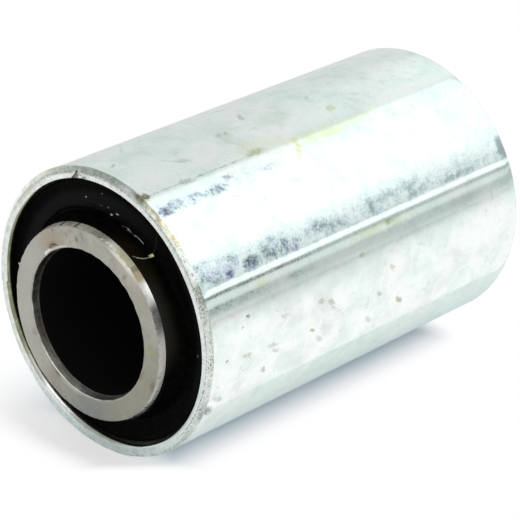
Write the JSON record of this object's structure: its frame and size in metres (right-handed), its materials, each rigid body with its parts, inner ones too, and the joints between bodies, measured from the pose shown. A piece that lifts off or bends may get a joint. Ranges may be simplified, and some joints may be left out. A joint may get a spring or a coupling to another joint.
{
  "type": "rubber metal bush",
  "caption": "Cylindrical bonded rubber bush: a steel outer sleeve to press into an eye, rubber, and a thick inner tube clamped by a through bolt.",
  "frame": {"origin": "on the axis of the bolt bore, halfway along the bush", "axes": "+Z along the bore; the sleeve's axis lies 0.75 mm from the bore's, towards +X; the bush stands on the lower end of its inner tube"},
  "size_m": [0.06, 0.06, 0.1028],
  "materials": {
    "zinc_plated_steel": "satin",
    "bare_steel": "satin",
    "black_rubber": "satin"
  },
  "bodies": {
    "root": {"outer_sleeve": "zinc_plated_steel", "inner_tube": "bare_steel", "rubber_body": "black_rubber"}
  },
  "joints": []
}
